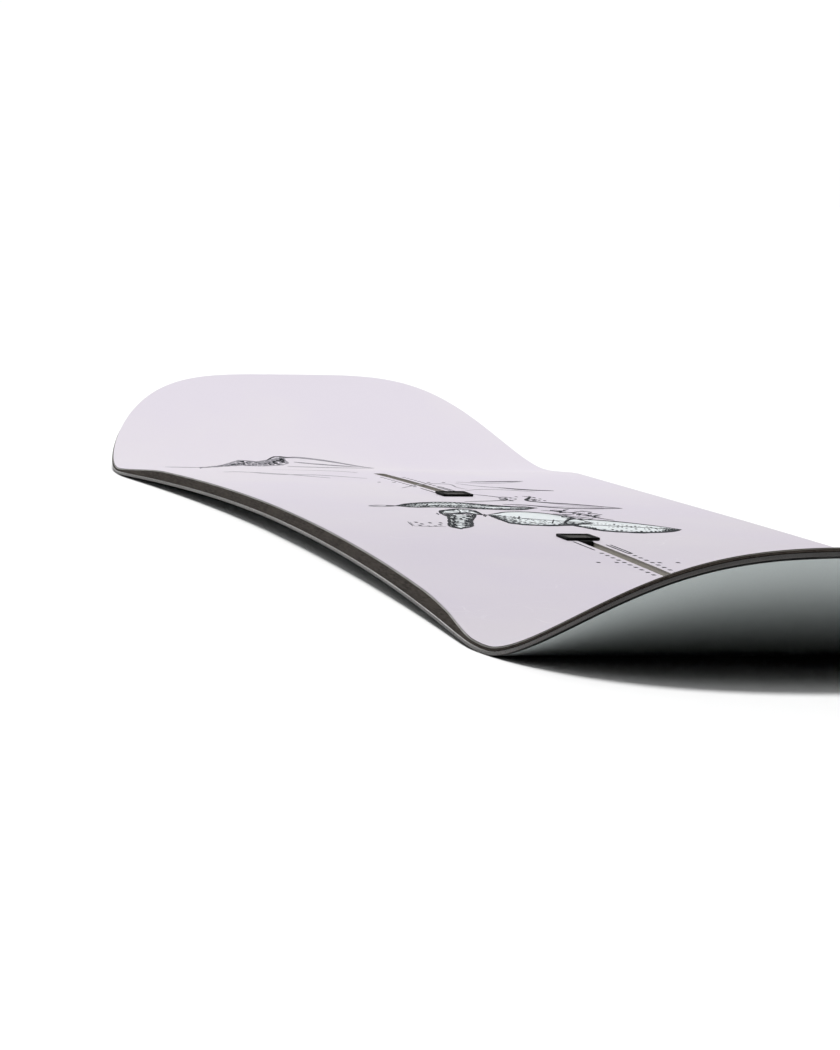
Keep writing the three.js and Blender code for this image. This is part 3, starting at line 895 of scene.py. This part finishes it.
# A ragged joint, then two thin leaves that part like a V.
for k in range(34):
    x, y = draw.uniform(-44, 34), draw.uniform(-50, -22)
    turn = draw.uniform(-10, 10)
    dark_lines.line(mm((x, y), (x + turn, y - 2.5), (x + 1.4 * turn, y - 5)), 0.0034)
dark_lines.line(mm((34, -24), (20, -36), (2, -43), (-24, -44), (-42, -49)), 0.0040)
dark_lines.line(mm((160, -40), (150, -42), (120, -34), (103, -40), (88, -54), (54, -76)), 0.0060)
dark_lines.line(mm((54, -76), (50, -62), (50, -50), (58, -36), (78, -24), (84, -12)), 0.0050)
dark_lines.line(mm((156, -44), (134, -38), (122, -40)), 0.0020)
for k in range(14):
    x, y = draw.uniform(118, 160), draw.uniform(-46, -34)
    dark_lines.dot(x / 1000, y / 1000, 0.005, 0.0014)
faint_lines.line(mm((96, -42), (80, -50), (58, -66)), 0.0024)
faint_lines.line(mm((78, -24), (70, -34), (62, -50), (56, -66)), 0.0024)

# Tendrils round the nose plug and faint ones beyond it.
dark_lines.line(mm((176, -13), (160, -20), (136, -25), (118, -18), (106, 6)), 0.0036)
faint_lines.line(mm((160, -26), (138, -31), (122, -26), (116, -18)), 0.0026)
for k in range(10):
    x, y = draw.uniform(114, 150), draw.uniform(-30, -20)
    dark_lines.dot(x / 1000, y / 1000, 0.005, 0.0012)
dark_lines.line(mm((316, -40), (318, -54), (327, -76)), 0.0060)
dark_lines.line(mm((250, -44), (230, -54), (222, -62), (218, -72)), 0.0080)
faint_lines.line(mm((312, -30), (300, -44), (304, -58), (318, -72)), 0.0034)
faint_lines.line(mm((296, -26), (266, -34), (240, -50), (222, -66)), 0.0034)
faint_lines.line(mm((240, 18), (262, 8), (290, -8), (284, -20), (250, -18), (228, -20)), 0.0034)
faint_lines.line(mm((204, -57), (222, -46), (230, -30), (214, -16)), 0.0026)
faint_lines.line(mm((353, 43), (378, 54), (403, 66), (430, 88), (426, 100)), 0.0040)
faint_lines.line(mm((350, 20), (392, 44), (398, 70), (428, 84)), 0.0034)

# On the nose a stippled catkin and a slender leaf beside it, fainter.
catkin_far = mm((584, 92), (600, 78), (618, 66), (627, 58), (622, 48), (630, 38), (636, 28))
catkin_near = mm((584, 92), (592, 82), (604, 64), (602, 50), (606, 36), (618, 27), (636, 28))
for edge in (catkin_far, catkin_near):
    faint_lines.line(edge, 0.0036, 0.4, 0.5)
faint_lines.stipple(catkin_far, catkin_near, 230, 0.0026, 0.02, 0.98)
dark_lines.stipple(catkin_far, catkin_near, 70, 0.0018, 0.1, 0.9)
faint_lines.line(mm((584, 92), (586, 104), (588, 116)), 0.0050)
nose_leaf_far = mm((636, 28), (638, 18), (630, 2), (615, -13), (590, -28))
nose_leaf_near = mm((600, 30), (596, 14), (592, -2), (590, -16), (590, -28))
faint_lines.line(nose_leaf_far, 0.0050, 0.4)
faint_lines.line(nose_leaf_near, 0.0040)
faint_lines.line(mm((622, 22), (612, 4), (600, -18)), 0.0050)
dark_lines.line(mm((628, 40), (640, 32), (636, 20)), 0.0024)
faint_lines.line(mm((528, 52), (500, 40), (470, 26), (430, 12)), 0.0040)
faint_lines.line(mm((560, 96), (580, 92), (596, 84)), 0.0034)

# Stance marks beside both slots: a reference row across, small dots along, two short dashes.
stance_x = abs(contact["binding_pad_tail_left"])
for way in (1, -1):
    for y in (7.2, 11, 20.5):
        for side in (1, -1):
            dark_lines.dot(way * stance_x, side * y / 1000, 0.0042, 0.0019)
    for k in (-4, -3, -2, -1, 1, 2, 3, 4, 5):
        for side in (1, -1):
            dark_lines.dot(way * (stance_x + 0.0125 * k), side * 0.0072, 0.0040, 0.0020)
    for y in (6.4, 8.6):
        dark_lines.line(mm((way * 206, -y), (way * 230, -y), (way * 256, -y)), 0.0030, 0.95, 0)
    dark_lines.line(mm((way * 188, 7.0), (way * 212, 7.0), (way * 238, 7.0)), 0.0030, 0.95, 0)

dark_lines.finish("printed_lines", line_ink)
faint_lines.finish("printed_faint_lines", faint_ink)
washes.finish("printed_washes", wash_ink)

# ---- Channel plugs ----
# A moulded rubber plug closes the inner end of each channel: a shallow tray with a raised rim
# on the deck, a stem that fills the nut opening, and a tongue pressed into the slot.
plate_half, plate_corner, plate_rim = 0.009, 0.0016, 0.0022
plate_lift, plate_height, tray_depth = 0.0002, 0.0014, 0.0008
tongue_half, tongue_rise, tongue_depth = slot_half - 0.0003, 0.0002, 0.002
stem_depth, plug_fit = 0.00405, 0.0003
soft_edge = 0.0003
slight_turn = soft_edge * 0.3
tray_corner, tongue_corner, corner_ease = 0.001, 0.001, 0.0001
plug_crease = math.radians(50)

rubber = bpy.data.materials.new("moulded plug rubber")
tree, shader = nodes_of(rubber)
shader.inputs["Specular IOR Level"].default_value = 0.02
dust = use_effect(tree, grain_group, Size=0.006, Stretch=1.0)
pores = use_effect(tree, grain_group, Size=0.0005, Stretch=1.0)
scratches = use_effect(tree, scratch_group, Size=0.004, Amount=0.5)
tone = mixed(tree, dust.outputs["Mask"], (0.004, 0.004, 0.004), (0.009, 0.009, 0.0085))
# Painted reflection: the tray floor is painted lighter than the near-black rim, standing in for the light it
# reflects.
tray_painted_reflection = add_node(tree, "ShaderNodeAttribute", attribute_name="tray_painted_reflection").outputs["Fac"]
tone = mixed(tree, tray_painted_reflection, tone, (0.06, 0.058, 0.055))
tone = mixed(tree, scratches.outputs["Mask"], tone, (0.05, 0.05, 0.05))
gloss = ramp(tree, pores.outputs["Height"], (0.3, 0.5), (0.7, 0.75))
surface(tree, shader, tone, gloss, pores.outputs["Height"], 0.5, 0.00005)


def stacked(name, rings):
    """A closed solid through a stack of round-cornered rectangles, from its foot up."""
    outlines = []
    for x0, x1, half, radius, z in rings:
        outlines.append([(x, y, z) for x, y in round_outline(x0, x1, half, radius, 6)])
    count = len(outlines[0])
    vertices = [point for outline in outlines for point in outline]
    faces = []
    for k in range(len(outlines) - 1):
        for i in range(count):
            j = (i + 1) % count
            low, high = k * count, (k + 1) * count
            faces.append((low + i, low + j, high + j, high + i))
    faces.append(tuple(reversed(range(count))))
    faces.append(tuple((len(outlines) - 1) * count + i for i in range(count)))
    return tidy_mesh(make_object(name, vertices, faces), plug_crease)


plate_end = channel_inner + plate_length
tray_x0, tray_x1 = channel_inner + plate_rim, plate_end - plate_rim
tray_half = plate_half - plate_rim
for end, way in (("nose", 1), ("tail", -1)):
    low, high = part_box(f"channel_plug_{end}")
    deck_z = high.z - plate_lift - plate_height
    top, tray = plate_lift + plate_height, plate_lift + plate_height - tray_depth
    stem0, stem1 = entry_start + plug_fit, entry_start + entry_length - plug_fit
    stem_half = entry_half - plug_fit
    plate_rings = [
        (stem0 + soft_edge, stem1 - soft_edge, stem_half - soft_edge, entry_corner, -stem_depth),
        (stem0, stem1, stem_half, entry_corner, soft_edge - stem_depth),
        (stem0, stem1, stem_half, entry_corner, plate_lift),
        (channel_inner + soft_edge, plate_end - soft_edge, plate_half - soft_edge, plate_corner, plate_lift),
        (channel_inner, plate_end, plate_half, plate_corner, plate_lift + soft_edge),
        (channel_inner, plate_end, plate_half, plate_corner, top - soft_edge),
        (channel_inner + slight_turn, plate_end - slight_turn, plate_half - slight_turn,
         plate_corner, top - slight_turn),
        (channel_inner + soft_edge, plate_end - soft_edge, plate_half - soft_edge, plate_corner, top),
        (tray_x0 - soft_edge, tray_x1 + soft_edge, tray_half + soft_edge, tray_corner + corner_ease, top),
        (tray_x0, tray_x1, tray_half, tray_corner, top - soft_edge),
        (tray_x0 + soft_edge, tray_x1 - soft_edge, tray_half - soft_edge, tray_corner - corner_ease, tray),
    ]
    tongue_x0, tongue_x1 = plate_end - plate_rim, plate_end + tongue_overhang
    tongue_top, eased_corner = plate_lift + tongue_rise, tongue_corner - 2 * corner_ease
    tongue_rings = [
        (tongue_x0, tongue_x1 - soft_edge, tongue_half - soft_edge, eased_corner, -tongue_depth),
        (tongue_x0, tongue_x1, tongue_half, tongue_corner, soft_edge - tongue_depth),
        (tongue_x0, tongue_x1, tongue_half, tongue_corner, tongue_top - soft_edge),
        (tongue_x0, tongue_x1 - soft_edge, tongue_half - soft_edge, eased_corner, tongue_top),
    ]
    plug = stacked(f"moulded_plug_{end}", plate_rings)
    # The tray floor's points carry the painted reflection.
    tray_floor = [abs(vertex.co.z - tray) < 1e-5 for vertex in plug.data.vertices]
    plug.data.attributes.new("tray_painted_reflection", "FLOAT", "POINT").data.foreach_set("value", tray_floor)
    tongue = stacked(f"plug_tongue_{end}", tongue_rings)
    for piece in (plug, tongue):
        for vertex in piece.data.vertices:
            vertex.co = (way * vertex.co.x, vertex.co.y, vertex.co.z + deck_z)
        tidy_mesh(piece, plug_crease)
        piece.data.materials.append(rubber)
        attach(piece, f"plug_{end}")
    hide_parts(f"channel_plug_{end}")

# ---- Floor and light ----
# A plain pale floor, a broad soft lamp overhead, and a surround that is bright high up and past
# the nose and dark elsewhere. The camera sees the surround as plain white. The floor looks
# nearly white too, but throws less light back, so the board's sides and shadow stay dark.
floor_half, floor_gap = 30, 0.0002
floor = make_object("floor", [(-floor_half, -floor_half, 0), (floor_half, -floor_half, 0),
                              (floor_half, floor_half, 0), (-floor_half, floor_half, 0)], [(0, 1, 2, 3)])
floor.location.z = -floor_gap
floor_paint = bpy.data.materials.new("pale studio floor")
tree, shader = nodes_of(floor_paint)
cloud = use_effect(tree, grain_group, Size=0.5, Stretch=1.0)
tone = mixed(tree, cloud.outputs["Mask"], (0.96, 0.96, 0.96), (0.98, 0.98, 0.98))
path = add_node(tree, "ShaderNodeLightPath")
tone = mixed(tree, path.outputs["Is Diffuse Ray"], tone, (0.72, 0.72, 0.72))
tone = mixed(tree, path.outputs["Is Glossy Ray"], tone, (0.10, 0.10, 0.10))
tree.links.new(tone, shader.inputs["Base Color"])
shader.inputs["Roughness"].default_value = 0.55
floor.data.materials.append(floor_paint)
floor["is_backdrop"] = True

world = bpy.data.worlds.new("studio")
scene.world = world
world.use_nodes = True
tree = world.node_tree
tree.nodes.clear()
# A direction is a unit vector: X points to the nose and Z upward.
toward = add_node(tree, "ShaderNodeTexCoord").outputs["Generated"]
toward_x, _, toward_z = add_node(tree, "ShaderNodeSeparateXYZ", {"Vector": toward}).outputs
high_up = spread(tree, toward_z, 0.5, 0.8, 0.005, 1.15)
from_tail = spread(tree, toward_x, -0.9, 0.6, 0.9, 0.1)
behind_nose = spread(tree, toward_x, 0.5, 0.95, 0.0, 0.8)
low_down = spread(tree, toward_z, 0.30, 0.22)
far_ahead = spread(tree, toward_x, 0.90, 0.96, 0.0, 1.5)
canopy = maths(tree, "MULTIPLY", high_up, from_tail)
strip_lamp = maths(tree, "MULTIPLY", low_down, far_ahead)
around_board = maths(tree, "MAXIMUM", canopy, maths(tree, "MAXIMUM", behind_nose, strip_lamp))
seen = add_node(tree, "ShaderNodeLightPath").outputs["Is Camera Ray"]
glow = add_node(tree, "ShaderNodeBackground", {
    "Color": mixed(tree, seen, around_board, (1.02, 1.02, 1.02)), "Strength": 1.0})
add_node(tree, "ShaderNodeOutputWorld", {"Surface": glow.outputs["Background"]})

overhead_data = bpy.data.lights.new("overhead", "SUN")
overhead_data.energy = 2.7
overhead_data.angle = math.radians(24)
overhead = bpy.data.objects.new("overhead", overhead_data)
overhead.rotation_euler = Vector((-0.02, -0.05, -1)).to_track_quat("-Z", "Y").to_euler()
scene.collection.objects.link(overhead)
scene.view_settings.view_transform = "Standard"

low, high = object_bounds()
